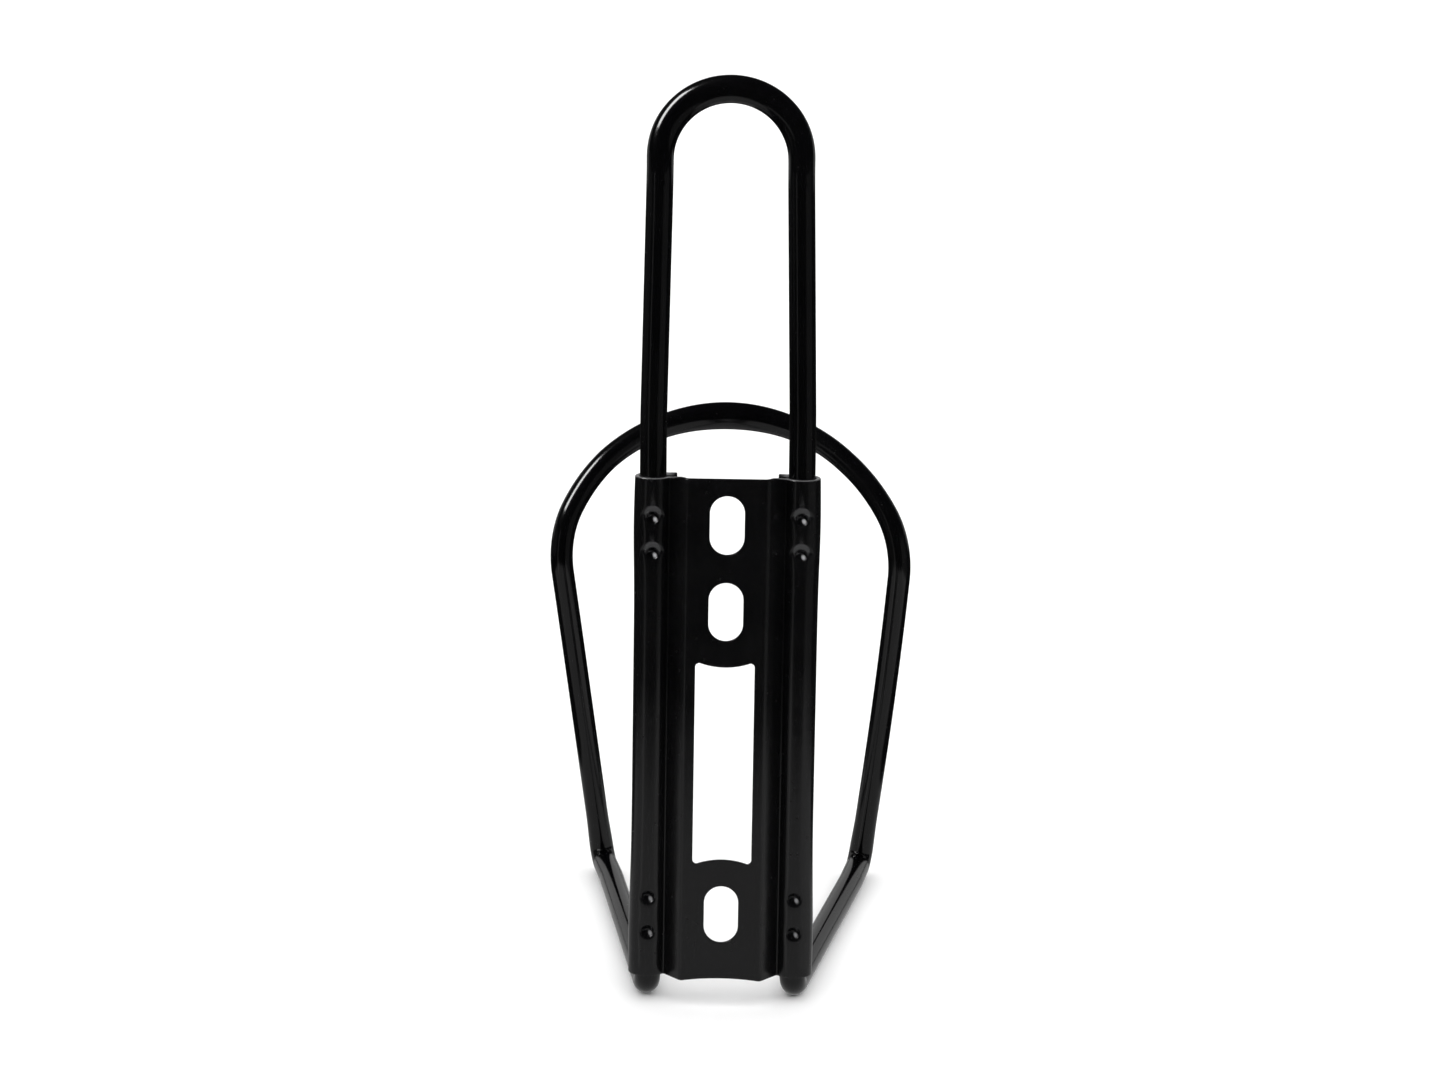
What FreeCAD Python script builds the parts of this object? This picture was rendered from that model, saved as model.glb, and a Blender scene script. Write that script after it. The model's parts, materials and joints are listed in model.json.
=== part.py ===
"""Bottle cage: a rolled sheet back plate that grips two bent aluminium rods.

Frame: X across the cage, +Y from the bike frame towards the bottle, +Z up the bottle.
The origin is the middle of the 64 mm bolt pattern, on the plate's rear face (y = 0).
Millimetres and degrees.
"""
import FreeCAD, Part
import math
import os

from FreeCAD import Placement, Rotation, Vector

# alias, value, what it is
SIZES = [
    ("rod_diameter", 4.25, "aluminium rod of both hoops"),
    ("fit_gap", 0.05, "clearance between a rod and the sheet rolled round it"),
    ("sheet", 0.7, "thickness of the plate"),
    ("bolt_spacing", 64.0, "between the top and the bottom slot"),
    ("channel_offset", 11.8, "side distance of a channel's axis from the middle"),
    ("channel_depth", 4.8, "distance of a channel's axis in front of the rear face"),
    ("plate_top", "=bolt_spacing / 2 + 7.5", "top edge of the plate"),
    ("plate_bottom", "=-bolt_spacing / 2 - 11", "bottom edge of the plate"),
    ("web_half_width", "=channel_offset - 5.3", "half of the flat web, to the bend of the bevel"),
    ("bevel_angle", 51.5, "slope of the bevel, measured from the web"),
    ("roll_start", 196.0, "angle round the rod where the roll leaves the valley"),
    ("flap_reach", 3.5, "flat flap from the channel's axis back towards the middle"),
    ("extra_slot_drop", 14.0, "second slot below the top one"),
    ("slot_width", 5.5, "across a bolt slot"),
    ("slot_length", 9.5, "a bolt slot, end to end"),
    ("window_width", 9.45, "opening in the web"),
    ("window_top", "=bolt_spacing / 2 - 22.05", "upper corners of the opening"),
    ("window_bottom", "=-bolt_spacing / 2 + 8.15", "lower corners of the opening"),
    ("window_end_radius", 12.0, "the opening's two ends bulge inwards on this radius"),
    ("stake_pitch", 5.8, "between the two stake marks of a pair"),
    ("stake_upper", "=plate_top - 9.65", "middle of the upper pair of stake marks"),
    ("stake_lower", "=plate_bottom + 10.2", "middle of the lower pair of stake marks"),
    ("stake_depth", 1.0, "depth of a stake mark below the roll's rear line"),
    ("stake_mouth", 1.25, "radius of a stake mark at its mouth"),
    ("stake_tip", 0.35, "radius of a stake mark at its tip"),
    ("stake_skin", 0.45, "sheet left under a stake mark"),
    ("upper_rod_end", "=plate_top - 16.5", "lower ends of the upper hoop, inside the channels"),
    ("lean_height", "=plate_top + 8.5", "height where the upper hoop's legs begin to lean in"),
    ("lean_radius", 250.0, "bend at the start of the lean"),
    ("hook_height", "=plate_top + 46.1", "height where the upper hoop bends towards the bottle"),
    ("hook_angle", 20.0, "bend of the hook towards the bottle"),
    ("hook_radius", 14.0, "bend radius of the hook"),
    ("arch_half_width", "=channel_offset - 0.75", "half width of the upper hoop below its arch"),
    ("hook_length", "=arch_half_width + 4.05", "hook above its bend, to the rod's centre line"),
    ("front_rod_end", "=plate_bottom + 17.5", "upper ends of the front hoop, in the channels"),
    ("shelf_height", "=plate_bottom - rod_diameter / 1.7",
     "centre line of the shelf rods that carry the bottle"),
    ("foot_radius", "=plate_bottom - shelf_height + rod_diameter / 20",
     "bend from channel to shelf"),
    ("kink_radius", 2.9, "sharp bend from the shelf up into the arms"),
    ("bottle_diameter", 73.0, "bottle that the cage is made for"),
    ("bottle_play", 0.3, "play between the bottle and the plate's flaps"),
    ("crown_height", 35.0, "centre line of the front hoop's crown"),
    ("crown_radius", 39.5, "crown of the front hoop, laid flat"),
    ("crown_angle", 51.5, "half angle of the crown"),
    ("shoulder_radius", 14.3, "shoulders of the front hoop, laid flat"),
    ("arm_lean", 9.4, "lean of the arms, laid flat"),
]
CROWN_ARCS = 3      # tangent arcs in each half of the crown
SHOULDER_ARCS = 2   # tangent arcs in each shoulder

doc = FreeCAD.newDocument("bottle_cage")
sizes = doc.addObject("Spreadsheet::Sheet", "Sizes")
for row, (alias, value, note) in enumerate(SIZES, start=1):
    sizes.set(f"A{row}", alias)
    sizes.set(f"B{row}", str(value))
    sizes.set(f"C{row}", note)
    sizes.setAlias(f"B{row}", alias)
doc.recompute()


# ------------------------------------------------------------------ helpers

def size(alias):
    """A driving size, as a number."""
    return float(sizes.get(alias))


def bind(thing, prop, expression):
    """Bind a property to an expression; [alias] stands for a cell of the sheet."""
    thing.setExpression(prop, expression.replace("[", "Sizes.").replace("]", ""))


def add(kind, name, **bound):
    """Add an object and bind the named properties to expressions."""
    thing = doc.addObject(kind, name)
    for prop, expression in bound.items():
        bind(thing, prop, expression)
    return thing


def place(thing, x="0", y="0", z="0"):
    """Bind the three coordinates of an object's place."""
    for axis, expression in (("x", x), ("y", y), ("z", z)):
        bind(thing, f"Placement.Base.{axis}", expression)


def turn(thing, angle):
    """Turn an object about Z by a size of the sheet."""
    thing.Placement = Placement(Vector(), Rotation(Vector(0, 0, 1), size(angle)))
    bind(thing, "Placement.Rotation.Angle", f"[{angle}]")


def point_along_y(thing):
    """Turn a cylinder or cone so that its axis runs along +Y."""
    thing.Placement = Placement(Vector(), Rotation(Vector(1, 0, 0), -90))


def fuse(name, pieces):
    joined = doc.addObject("Part::MultiFuse", name)
    joined.Shapes = pieces
    return joined


def cut(name, base, tool):
    result = doc.addObject("Part::Cut", name)
    result.Base = base
    result.Tool = tool
    return result


def mirror(name, source):
    """The same thing on the other side of the cage's middle plane."""
    copy = doc.addObject("Part::Mirroring", name)
    copy.Source = source
    copy.Normal = Vector(1, 0, 0)
    return copy


# --------------------------------------------------------------- back plate

PLATE_LENGTH = "[plate_top] - [plate_bottom]"
ROLL_BORE = "([rod_diameter] / 2 + [fit_gap])"
ROLL_REAR = f"([channel_depth] - {ROLL_BORE} - [sheet])"
CUT_START = "-[sheet]"
CUT_THROUGH = "3 * [sheet]"


def web():
    """Flat middle of the plate, which lies on the bike frame."""
    flat = add("Part::Box", "Web", Length="2 * [web_half_width]", Width="[sheet]",
               Height=PLATE_LENGTH)
    place(flat, x="-[web_half_width]", z="[plate_bottom]")
    return flat


def bevel():
    """Strip that slopes from the web down to the roll's mean line, in the valley."""
    reach = math.hypot(size("channel_offset") - size("web_half_width"), size("channel_depth"))
    heading = math.atan2(size("channel_depth"), size("channel_offset") - size("web_half_width"))
    swing = heading - math.radians(size("bevel_angle"))
    mean_radius = size("rod_diameter") / 2 + size("fit_gap") + size("sheet") / 2
    aside = reach * math.sin(swing)
    length = reach * math.cos(swing) - math.sqrt(mean_radius ** 2 - aside ** 2)
    strip = add("Part::Box", "Bevel", Width="[sheet]", Height=PLATE_LENGTH)
    strip.Length = length + size("fit_gap")
    turn(strip, "bevel_angle")
    place(strip, x="[web_half_width]", z="[plate_bottom]")
    return strip


def roll():
    """Sheet rolled round the rear and the outside of the rod, without its bore."""
    skin = add("Part::Cylinder", "RollSkin", Radius=f"{ROLL_BORE} + [sheet]",
               Height=PLATE_LENGTH, Angle="450 - [roll_start]")
    turn(skin, "roll_start")
    place(skin, x="[channel_offset]", y="[channel_depth]", z="[plate_bottom]")
    return skin


def flap():
    """Flat end of the roll, on the bottle's side of the rod."""
    strip = add("Part::Box", "Flap", Length="[flap_reach]", Width="[sheet]",
                Height=PLATE_LENGTH)
    place(strip, x="[channel_offset] - [flap_reach]", y=f"[channel_depth] + {ROLL_BORE}",
          z="[plate_bottom]")
    return strip


def bore():
    """Space for the rod in a channel, open over the plate's whole length."""
    hole = add("Part::Cylinder", "ChannelBore", Radius=ROLL_BORE, Height=PLATE_LENGTH)
    place(hole, x="[channel_offset]", y="[channel_depth]", z="[plate_bottom]")
    return hole


def stakes(name, mouth, tip, start, depth):
    """A cone at each of one channel's four stake marks, pointing into the rod."""
    cones = []
    for pair in ("upper", "lower"):
        for sign in ("+", "-"):
            cone = add("Part::Cone", name, Radius1=mouth, Radius2=tip, Height=depth)
            point_along_y(cone)
            place(cone, x="[channel_offset]", y=f"{ROLL_REAR} + {start}",
                  z=f"[stake_{pair}] {sign} [stake_pitch] / 2")
            cones.append(cone)
    return fuse(f"{name}Set", cones)


def stake_skins(name, gap):
    """The dished sheet under the stake marks, grown by a gap to cut the rods."""
    return stakes(name, f"[stake_mouth] + {gap}", f"[stake_tip] + [stake_skin] + {gap}",
                  "[sheet] / 2", f"[stake_depth] + [stake_skin] - [sheet] / 2 + {gap}")


def slot(name, height):
    """Upright bolt slot in the web: a box with a round at each end."""
    straight = add("Part::Box", name, Length="[slot_width]", Width=CUT_THROUGH,
                   Height="[slot_length] - [slot_width]")
    place(straight, x="-[slot_width] / 2", y=CUT_START,
          z=f"{height} - ([slot_length] - [slot_width]) / 2")
    pieces = [straight]
    for sign in ("+", "-"):
        end = add("Part::Cylinder", f"{name}End", Radius="[slot_width] / 2",
                  Height=CUT_THROUGH)
        point_along_y(end)
        place(end, y=CUT_START,
              z=f"{height} {sign} ([slot_length] - [slot_width]) / 2")
        pieces.append(end)
    return fuse(f"{name}Hole", pieces)


def window():
    """Opening in the web, whose two ends bulge inwards."""
    opening = add("Part::Box", "Window", Length="[window_width]", Width=CUT_THROUGH,
                  Height="[window_top] - [window_bottom]")
    place(opening, x="-[window_width] / 2", y=CUT_START, z="[window_bottom]")
    half_angle = "asin([window_width] / 2 / [window_end_radius])"
    rise = f"[window_end_radius] * cos({half_angle})"
    ends = []
    for end, sign in (("top", "+"), ("bottom", "-")):
        disc = add("Part::Cylinder", f"WindowEnd_{end}", Radius="[window_end_radius]",
                   Height=CUT_THROUGH)
        point_along_y(disc)
        place(disc, y=CUT_START, z=f"[window_{end}] {sign} {rise}")
        ends.append(disc)
    return cut("WindowHole", opening, fuse("WindowEnds", ends))


def back_plate():
    side = cut("ChannelOpen", fuse("ChannelFilled", [roll(), flap(), bevel()]), bore())
    side = fuse("ChannelStaked", [side, stake_skins("StakeSkin", "0")])
    pits = stakes("StakePit", "[stake_mouth]", "[stake_tip]", "0", "[stake_depth]")
    side = cut("Channel", side, pits)
    whole = fuse("PlateBlank", [web(), side, mirror("ChannelMirrored", side)])
    holes = [slot("SlotTop", "[bolt_spacing] / 2"),
             slot("SlotSecond", "[bolt_spacing] / 2 - [extra_slot_drop]"),
             slot("SlotBottom", "-[bolt_spacing] / 2"),
             window()]
    return cut("back_plate", whole, fuse("WebHoles", holes))


# -------------------------------------------------------------------- hoops

def bent_wire(corners):
    """Straight runs through the corners, each corner rounded by a tangent arc.

    A corner is (point, radius); with radius None the arc takes all the room it has.
    """
    points = [corner for corner, _ in corners]
    edges = []
    start = points[0]
    for before, (corner, radius), after in zip(points, corners[1:-1], points[2:]):
        back = (before - corner).normalize()
        ahead = (after - corner).normalize()
        half_turn = (math.pi - back.getAngle(ahead)) / 2
        if radius is None:
            tangent = min(before.distanceToPoint(corner), after.distanceToPoint(corner)) / 2
            radius = tangent / math.tan(half_turn)
        tangent = radius * math.tan(half_turn)
        into = corner + back * tangent
        out = corner + ahead * tangent
        inward = (back + ahead).normalize()
        middle = corner + inward * (radius / math.cos(half_turn) - radius)
        if start.distanceToPoint(into) > 1e-6:
            edges.append(Part.LineSegment(start, into).toShape())
        edges.append(Part.Arc(into, middle, out).toShape())
        start = out
    edges.append(Part.LineSegment(start, points[-1]).toShape())
    return Part.Wire(edges)


def both_sides(half):
    """Corners of one half, from its end to the middle, followed by their mirror images."""
    other = [(Vector(-p.x, p.y, p.z), radius) for p, radius in reversed(half)]
    return half + other


def upper_corners():
    """Channel, leg, hook and half of the arch, on the right side."""
    side = size("channel_offset")
    depth = size("channel_depth")
    arch = size("arch_half_width")
    tilt = math.radians(size("hook_angle"))
    top = Vector(arch, depth + size("hook_length") * math.sin(tilt),
                 size("hook_height") + size("hook_length") * math.cos(tilt))
    return [(Vector(side, depth, size("upper_rod_end")), 0),
            (Vector(side, depth, size("lean_height")), size("lean_radius")),
            (Vector(arch, depth, size("hook_height")), size("hook_radius")),
            (top, arch)]


def flat_front_corners():
    """Corners of half the front hoop laid flat, from the crown's middle to the arm.

    Each corner is where the tangents at the two ends of one small arc cross.
    """
    crown = size("crown_radius")
    shoulder = size("shoulder_radius")
    crown_angle = math.radians(size("crown_angle"))
    whole_turn = math.radians(90 + size("arm_lean"))
    crown_step = crown_angle / CROWN_ARCS
    shoulder_step = (whole_turn - crown_angle) / SHOULDER_ARCS
    crown_centre = size("crown_height") - crown
    corners = []
    for arc in range(CROWN_ARCS):
        angle = (arc + 0.5) * crown_step
        reach = crown / math.cos(crown_step / 2)
        corners.append((reach * math.sin(angle), crown_centre + reach * math.cos(angle)))
    middle_s = (crown - shoulder) * math.sin(crown_angle)
    middle_z = crown_centre + (crown - shoulder) * math.cos(crown_angle)
    for arc in range(SHOULDER_ARCS):
        angle = crown_angle + (arc + 0.5) * shoulder_step
        reach = shoulder / math.cos(shoulder_step / 2)
        corners.append((middle_s + reach * math.sin(angle), middle_z + reach * math.cos(angle)))
    return corners


def front_corners():
    """Channel, foot, shelf, kink, arm, shoulder and crown, on the right side."""
    side = size("channel_offset")
    depth = size("channel_depth")
    shelf = size("shelf_height")
    bottle = size("bottle_diameter") / 2
    round_bottle = bottle + size("rod_diameter") / 2
    flap_front = depth + size("rod_diameter") / 2 + size("fit_gap") + size("sheet")
    flap_edge = side - size("flap_reach")
    bottle_axis = flap_front + math.sqrt(bottle ** 2 - flap_edge ** 2) + size("bottle_play")

    def wrapped(along, height):
        angle = along / round_bottle
        return Vector(round_bottle * math.sin(angle),
                      bottle_axis + round_bottle * math.cos(angle), height)

    flat = flat_front_corners()
    arm_along, arm_height = flat[-1]
    kink_along = arm_along - math.tan(math.radians(size("arm_lean"))) * (arm_height - shelf)
    arm = [(wrapped(along, height), None) for along, height in reversed(flat)]
    return [(Vector(side, depth, size("front_rod_end")), 0),
            (Vector(side, depth, shelf), size("foot_radius")),
            (wrapped(kink_along, shelf), size("kink_radius"))] + arm


def hoop(name, half_corners):
    """Rod swept along its bent line, dented by the plate's stake marks."""
    line = doc.addObject("Part::Feature", f"{name}_line")
    line.Shape = bent_wire(both_sides(half_corners))
    section = add("Part::Circle", f"{name}_section", Radius="[rod_diameter] / 2")
    section.Placement = Placement(half_corners[0][0], Rotation())
    rod = doc.addObject("Part::Sweep", f"{name}_rod")
    rod.Sections = [section]
    rod.Spine = (line, [f"Edge{n}" for n in range(1, len(line.Shape.Edges) + 1)])
    rod.Solid = True
    rod.Frenet = False
    dents = stake_skins(f"{name}_dent", "[fit_gap]")
    dents = fuse(f"{name}_dents", [dents, mirror(f"{name}_dents_mirrored", dents)])
    return cut(name, rod, dents)


# ------------------------------------------------------------------- output

def check(pieces):
    """Stop if any object failed or any piece isn't one valid solid."""
    for thing in doc.Objects:
        if {"Invalid", "Error"} & set(thing.State):
            raise RuntimeError(f"{thing.Name} failed: {thing.State}")
    for piece in pieces:
        shape = piece.Shape
        if shape.isNull() or not shape.isValid() or len(shape.Solids) != 1:
            raise RuntimeError(f"{piece.Label} isn't one valid solid")


pieces = [back_plate(),
          hoop("upper_hoop", upper_corners()),
          hoop("front_hoop", front_corners())]
doc.recompute()
check(pieces)
os.makedirs("parts", exist_ok=True)
for piece in pieces:
    piece.Shape.exportStep(f"parts/{piece.Label}.step")
    box = piece.Shape.BoundBox
    print(f"{piece.Label}: {piece.Shape.Volume:.1f} mm3, X {box.XMin:.2f} to {box.XMax:.2f},"
          f" Y {box.YMin:.2f} to {box.YMax:.2f}, Z {box.ZMin:.2f} to {box.ZMax:.2f}")
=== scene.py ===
# %% [markdown]
# # A painted bottle cage: one rolled sheet and two bent rods
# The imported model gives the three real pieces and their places. This lesson makes
# each of them again as a finished mesh: the sheet with its real bends and punched
# slots, and the rods with the ovals and dents that bending leaves. All three get
# a gloss black paint.

# %% Load the frame
import json
import math

import bmesh
import bpy
from mathutils import Matrix, Vector


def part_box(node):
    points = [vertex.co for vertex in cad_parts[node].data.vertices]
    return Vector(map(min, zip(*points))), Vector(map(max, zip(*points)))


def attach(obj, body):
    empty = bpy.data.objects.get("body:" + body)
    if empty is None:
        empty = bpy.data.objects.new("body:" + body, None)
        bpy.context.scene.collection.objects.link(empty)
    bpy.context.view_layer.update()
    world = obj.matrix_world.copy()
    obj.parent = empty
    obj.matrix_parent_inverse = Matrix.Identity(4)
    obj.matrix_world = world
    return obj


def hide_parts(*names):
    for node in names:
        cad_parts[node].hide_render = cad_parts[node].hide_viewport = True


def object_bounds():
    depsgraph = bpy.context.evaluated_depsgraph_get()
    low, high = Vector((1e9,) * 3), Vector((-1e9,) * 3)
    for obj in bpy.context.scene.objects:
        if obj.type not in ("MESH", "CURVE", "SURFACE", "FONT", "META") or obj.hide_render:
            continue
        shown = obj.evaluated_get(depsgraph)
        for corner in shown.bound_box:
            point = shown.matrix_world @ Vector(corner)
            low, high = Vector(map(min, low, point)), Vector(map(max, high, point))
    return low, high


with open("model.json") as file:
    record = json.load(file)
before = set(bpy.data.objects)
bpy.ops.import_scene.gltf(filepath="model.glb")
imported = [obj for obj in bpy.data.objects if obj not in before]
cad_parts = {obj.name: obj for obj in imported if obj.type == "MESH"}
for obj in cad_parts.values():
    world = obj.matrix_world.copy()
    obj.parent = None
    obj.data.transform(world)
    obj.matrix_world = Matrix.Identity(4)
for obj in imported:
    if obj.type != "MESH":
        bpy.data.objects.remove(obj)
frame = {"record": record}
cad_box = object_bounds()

print("CAD box:", [[round(v, 4) for v in corner] for corner in cad_box])

# %% [markdown]
# ## Sizes shared by all the pieces
# Places come from the frame wherever it can say them: the channels' axis, the plate's
# edges and the lower ends of the upper hoop are read from the nodes' boxes. The rest
# are sizes of the real object that a box can't show. Everything is in metres.

# %% Read places and sizes
MM = 0.001
ROD = 4.25 * MM
SHEET = 0.7 * MM
GAP = 0.05 * MM
ROLL_MID = ROD / 2 + GAP + SHEET / 2
ROLL_R = ROLL_MID + SHEET / 2

plate_low, plate_high = (Vector(corner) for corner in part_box("back_plate"))
upper_low = Vector(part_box("upper_hoop")[0])

CHANNEL_X = plate_high.x - ROLL_MID - SHEET / 2
CHANNEL_Y = plate_high.y - ROLL_MID - SHEET / 2
SHELF_Z = -45.5 * MM
BOTTLE_R = 73.0 / 2 * MM
BOTTLE_PLAY = 0.3 * MM
FLAP_REACH = 3.5 * MM
BOTTLE_Y = (plate_high.y + math.sqrt(BOTTLE_R ** 2 - (CHANNEL_X - FLAP_REACH) ** 2)
            + BOTTLE_PLAY)
print("channel at x %.2f, y %.2f mm" % (CHANNEL_X / MM, CHANNEL_Y / MM))
print("bottle axis at y %.2f mm" % (BOTTLE_Y / MM))

# %% [markdown]
# ## The camera
# The cage is looked at from the bike frame's side, a little from above, with a long
# lens. Distance, height angle and the small lean are those of a person who holds
# a camera more than half a metre away.

# %% Set up the camera
VIEW_DISTANCE = 0.600
VIEW_ELEVATION = math.radians(12.0)
VIEW_LEAN = math.radians(0.92)
AIM = Vector((-1.27, 6.1, 28.6)) * MM
LENS = 94.25

ahead = Vector((0, math.cos(VIEW_ELEVATION), -math.sin(VIEW_ELEVATION)))
right = Vector((1, 0, 0))
up = right.cross(ahead)
right, up = (math.cos(VIEW_LEAN) * right + math.sin(VIEW_LEAN) * up,
             math.cos(VIEW_LEAN) * up - math.sin(VIEW_LEAN) * right)
camera_data = bpy.data.cameras.new("camera")
camera_data.lens = LENS
camera_data.sensor_width = 36.0
camera_data.clip_start = 0.01
camera = bpy.data.objects.new("camera", camera_data)
bpy.context.scene.collection.objects.link(camera)
axes = Matrix((right, up, -ahead)).transposed().to_4x4()
camera.matrix_world = Matrix.Translation(AIM - VIEW_DISTANCE * ahead) @ axes
bpy.context.scene.camera = camera
print("camera at", [round(v, 3) for v in camera.matrix_world.translation])

# %% [markdown]
# ## Helpers for nodes and colours
# A node tree reads more easily when each node is made, set and wired in one line.
# Colours are written as sRGB hex values, and turned to the linear numbers that
# a shader computes with.

# %% Node and colour helpers
def node(tree, kind, links=None, **settings):
    """Add a node; settings are its properties or inputs, links feed its inputs."""
    made = tree.nodes.new(kind)
    for name, value in settings.items():
        if hasattr(made, name):
            setattr(made, name, value)
        else:
            made.inputs[name.replace("_", " ")].default_value = value
    for socket, source in (links or {}).items():
        tree.links.new(source, made.inputs[socket])
    return made


def linear(hex_colour):
    """An sRGB hex colour as linear red, green, blue and alpha."""
    values = [int(hex_colour[i:i + 2], 16) / 255 for i in (1, 3, 5)]
    return [v / 12.92 if v <= 0.04045 else ((v + 0.055) / 1.055) ** 2.4 for v in values] + [1]


def remap(tree, value, old, new):
    """Node that turns the range old into the range new."""
    made = node(tree, "ShaderNodeMapRange", {"Value": value})
    ends = zip(("From Min", "From Max", "To Min", "To Max"), old + new)
    for socket, number in ends:
        made.inputs[socket].default_value = number
    return made


def new_material(name):
    """A material with an empty tree, its output, and object coordinates."""
    material = bpy.data.materials.new(name)
    material.use_nodes = True
    tree = material.node_tree
    tree.nodes.clear()
    output = node(tree, "ShaderNodeOutputMaterial")
    place = node(tree, "ShaderNodeTexCoord").outputs["Object"]
    return material, tree, output, place


print("lighter gloss black:", [round(v, 4) for v in linear("#0a0a0b")[:3]])

# %% [markdown]
# ## Gloss black paint
# The real finish is a thick black stove paint over aluminium. The eye gets three
# things from it: an almost black body, sharp reflections that waver because the
# paint dries with a fine orange peel, and a dusting of specks that are a little
# duller. So the shader is one smooth dielectric coat, a bump of
# two noises (peel about 1.2 mm across, grain about 0.25 mm), a wider cloudy noise that
# moves the tone and the roughness, and specks that add roughness. Where the plate's
# point attribute is high the colour turns light grey: worn paint, and painted highlights
# and painted reflections round the stakes and on the channels' tops. The rods carry no
# such attribute, so they get none of this grey.

# %% Paint material
PEEL = 1.2 * MM
GRAIN = 0.25 * MM
CLOUDS = 11.111 * MM
SPECK_SPACING = 2.0 * MM
SPECK_DULL = 0.16
CLOUD_DULL = 0.07


def black_paint(name, body, cloudy, gloss, peel_height):
    """Gloss black paint: its two tones, its roughness and the height of its peel."""
    material, tree, output, place = new_material(name)
    peel = node(tree, "ShaderNodeTexNoise", {"Vector": place}, Scale=1 / PEEL, Detail=2.0)
    grain = node(tree, "ShaderNodeTexNoise", {"Vector": place}, Scale=1 / GRAIN, Detail=1.0)
    low = node(tree, "ShaderNodeBump", {"Height": peel.outputs["Fac"]}, Strength=0.6,
               Distance=peel_height)
    fine = node(tree, "ShaderNodeBump", {"Height": grain.outputs["Fac"],
                                         "Normal": low.outputs["Normal"]},
                Strength=0.6, Distance=peel_height / 4)
    cloud = node(tree, "ShaderNodeTexNoise", {"Vector": place}, Scale=1 / CLOUDS, Detail=4.0)
    specks = node(tree, "ShaderNodeTexVoronoi", {"Vector": place}, Scale=1 / SPECK_SPACING)
    speck = remap(tree, specks.outputs["Distance"], (0.05, 0.14), (SPECK_DULL, 0.0))
    rough = remap(tree, cloud.outputs["Fac"], (0.3, 0.7), (gloss, gloss + CLOUD_DULL))
    dull = node(tree, "ShaderNodeMath", {0: rough.outputs["Result"], 1: speck.outputs["Result"]},
                operation="ADD")
    tint = node(tree, "ShaderNodeValToRGB", {"Fac": cloud.outputs["Fac"]})
    tint.color_ramp.elements[0].color = linear(body)
    tint.color_ramp.elements[0].position = 0.35
    tint.color_ramp.elements[1].color = linear(cloudy)
    tint.color_ramp.elements[1].position = 0.8
    # Light grey mixed in by the attribute: worn paint, and painted highlights and painted
    # reflections.
    thin = node(tree, "ShaderNodeAttribute", attribute_name="paint_wear_and_highlight")
    body_tone = node(tree, "ShaderNodeMix", {"Factor": thin.outputs["Fac"],
                                             6: tint.outputs["Color"]}, data_type="RGBA")
    body_tone.inputs[7].default_value = linear("#c4c4c6")
    shader = node(tree, "ShaderNodeBsdfPrincipled",
                  {"Base Color": body_tone.outputs[2], "Roughness": dull.outputs["Value"],
                   "Normal": fine.outputs["Normal"]}, IOR=1.45)
    tree.links.new(shader.outputs["BSDF"], output.inputs["Surface"])
    return material


sheet_paint = black_paint("gloss_black_paint_on_sheet", "#050506", "#0a0a0b", 0.16, 0.020 * MM)
rod_paint = black_paint("gloss_black_paint_on_rod", "#020203", "#050506", 0.12, 0.012 * MM)
print("materials:", sheet_paint.name, rod_paint.name)

# %% [markdown]
# ## The sheet's section
# A press brake and a roller shape the sheet, so its section is only straight runs
# and bends. It is drawn as a turtle walks: a run goes straight, a bend turns with
# a radius. One half is enough: flat web, bend into the bevel, valley, round the
# rod, and a flat flap on the bottle's side.

# %% Draw half of the section
BEND = 0.9 * MM
VALLEY = 0.55 * MM
BEVEL_ANGLE = math.radians(51.5)
WEB_HALF = 6.35 * MM


def walk(start, steps):
    """Points and left-hand normals along straight runs and bends.

    A step is (length, 0, pieces) for a run or (radius, turn, pieces) for a bend.
    """
    place = Vector(start)
    heading = 0.0
    track = [(place.copy(), heading)]
    for size, turn, pieces in steps:
        for _ in range(pieces):
            part = turn / pieces
            stride = 2 * size * math.sin(abs(part) / 2) if turn else size / pieces
            middle = heading + part / 2
            heading += part
            place = place + stride * Vector((math.cos(middle), math.sin(middle)))
            track.append((place.copy(), heading))
    return [(p, Vector((-math.sin(h), math.cos(h)))) for p, h in track]


def half_section():
    """Middle line of half the sheet, from the cage's middle to the flap's edge."""
    along = Vector((math.cos(BEVEL_ANGLE), math.sin(BEVEL_ANGLE)))
    left = Vector((-along.y, along.x))
    tangent = BEND * math.tan(BEVEL_ANGLE / 2)
    corner = Vector((WEB_HALF, SHEET / 2))
    channel = Vector((CHANNEL_X, CHANNEL_Y)) - corner
    aside = channel.dot(left) + VALLEY
    reach = math.sqrt((ROLL_MID + VALLEY) ** 2 - aside ** 2)
    bevel = channel.dot(along) - reach - tangent
    centre = corner + along * (bevel + tangent) - left * VALLEY
    towards = Vector((CHANNEL_X, CHANNEL_Y)) - centre
    leaving = math.atan2(towards.y, towards.x) - math.pi / 2
    print("bevel %.2f mm, valley at x %.2f mm, %.2f mm deep"
          % (bevel / MM, centre.x / MM, (centre.y + VALLEY) / MM))
    return walk((0, SHEET / 2), [
        (WEB_HALF - tangent, 0, 4),
        (BEND, BEVEL_ANGLE, 8),
        (bevel, 0, 3),
        (VALLEY, leaving - BEVEL_ANGLE, 14),
        (ROLL_MID, -leaving, 16),
        (ROLL_MID, math.radians(60), 18),
        (ROLL_MID, math.radians(120), 18),
        (FLAP_REACH, 0, 3),
    ])


half = half_section()
section = [(Vector((-p.x, p.y)), Vector((-n.x, n.y))) for p, n in reversed(half[1:])] + half
print("section points:", len(section))
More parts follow.
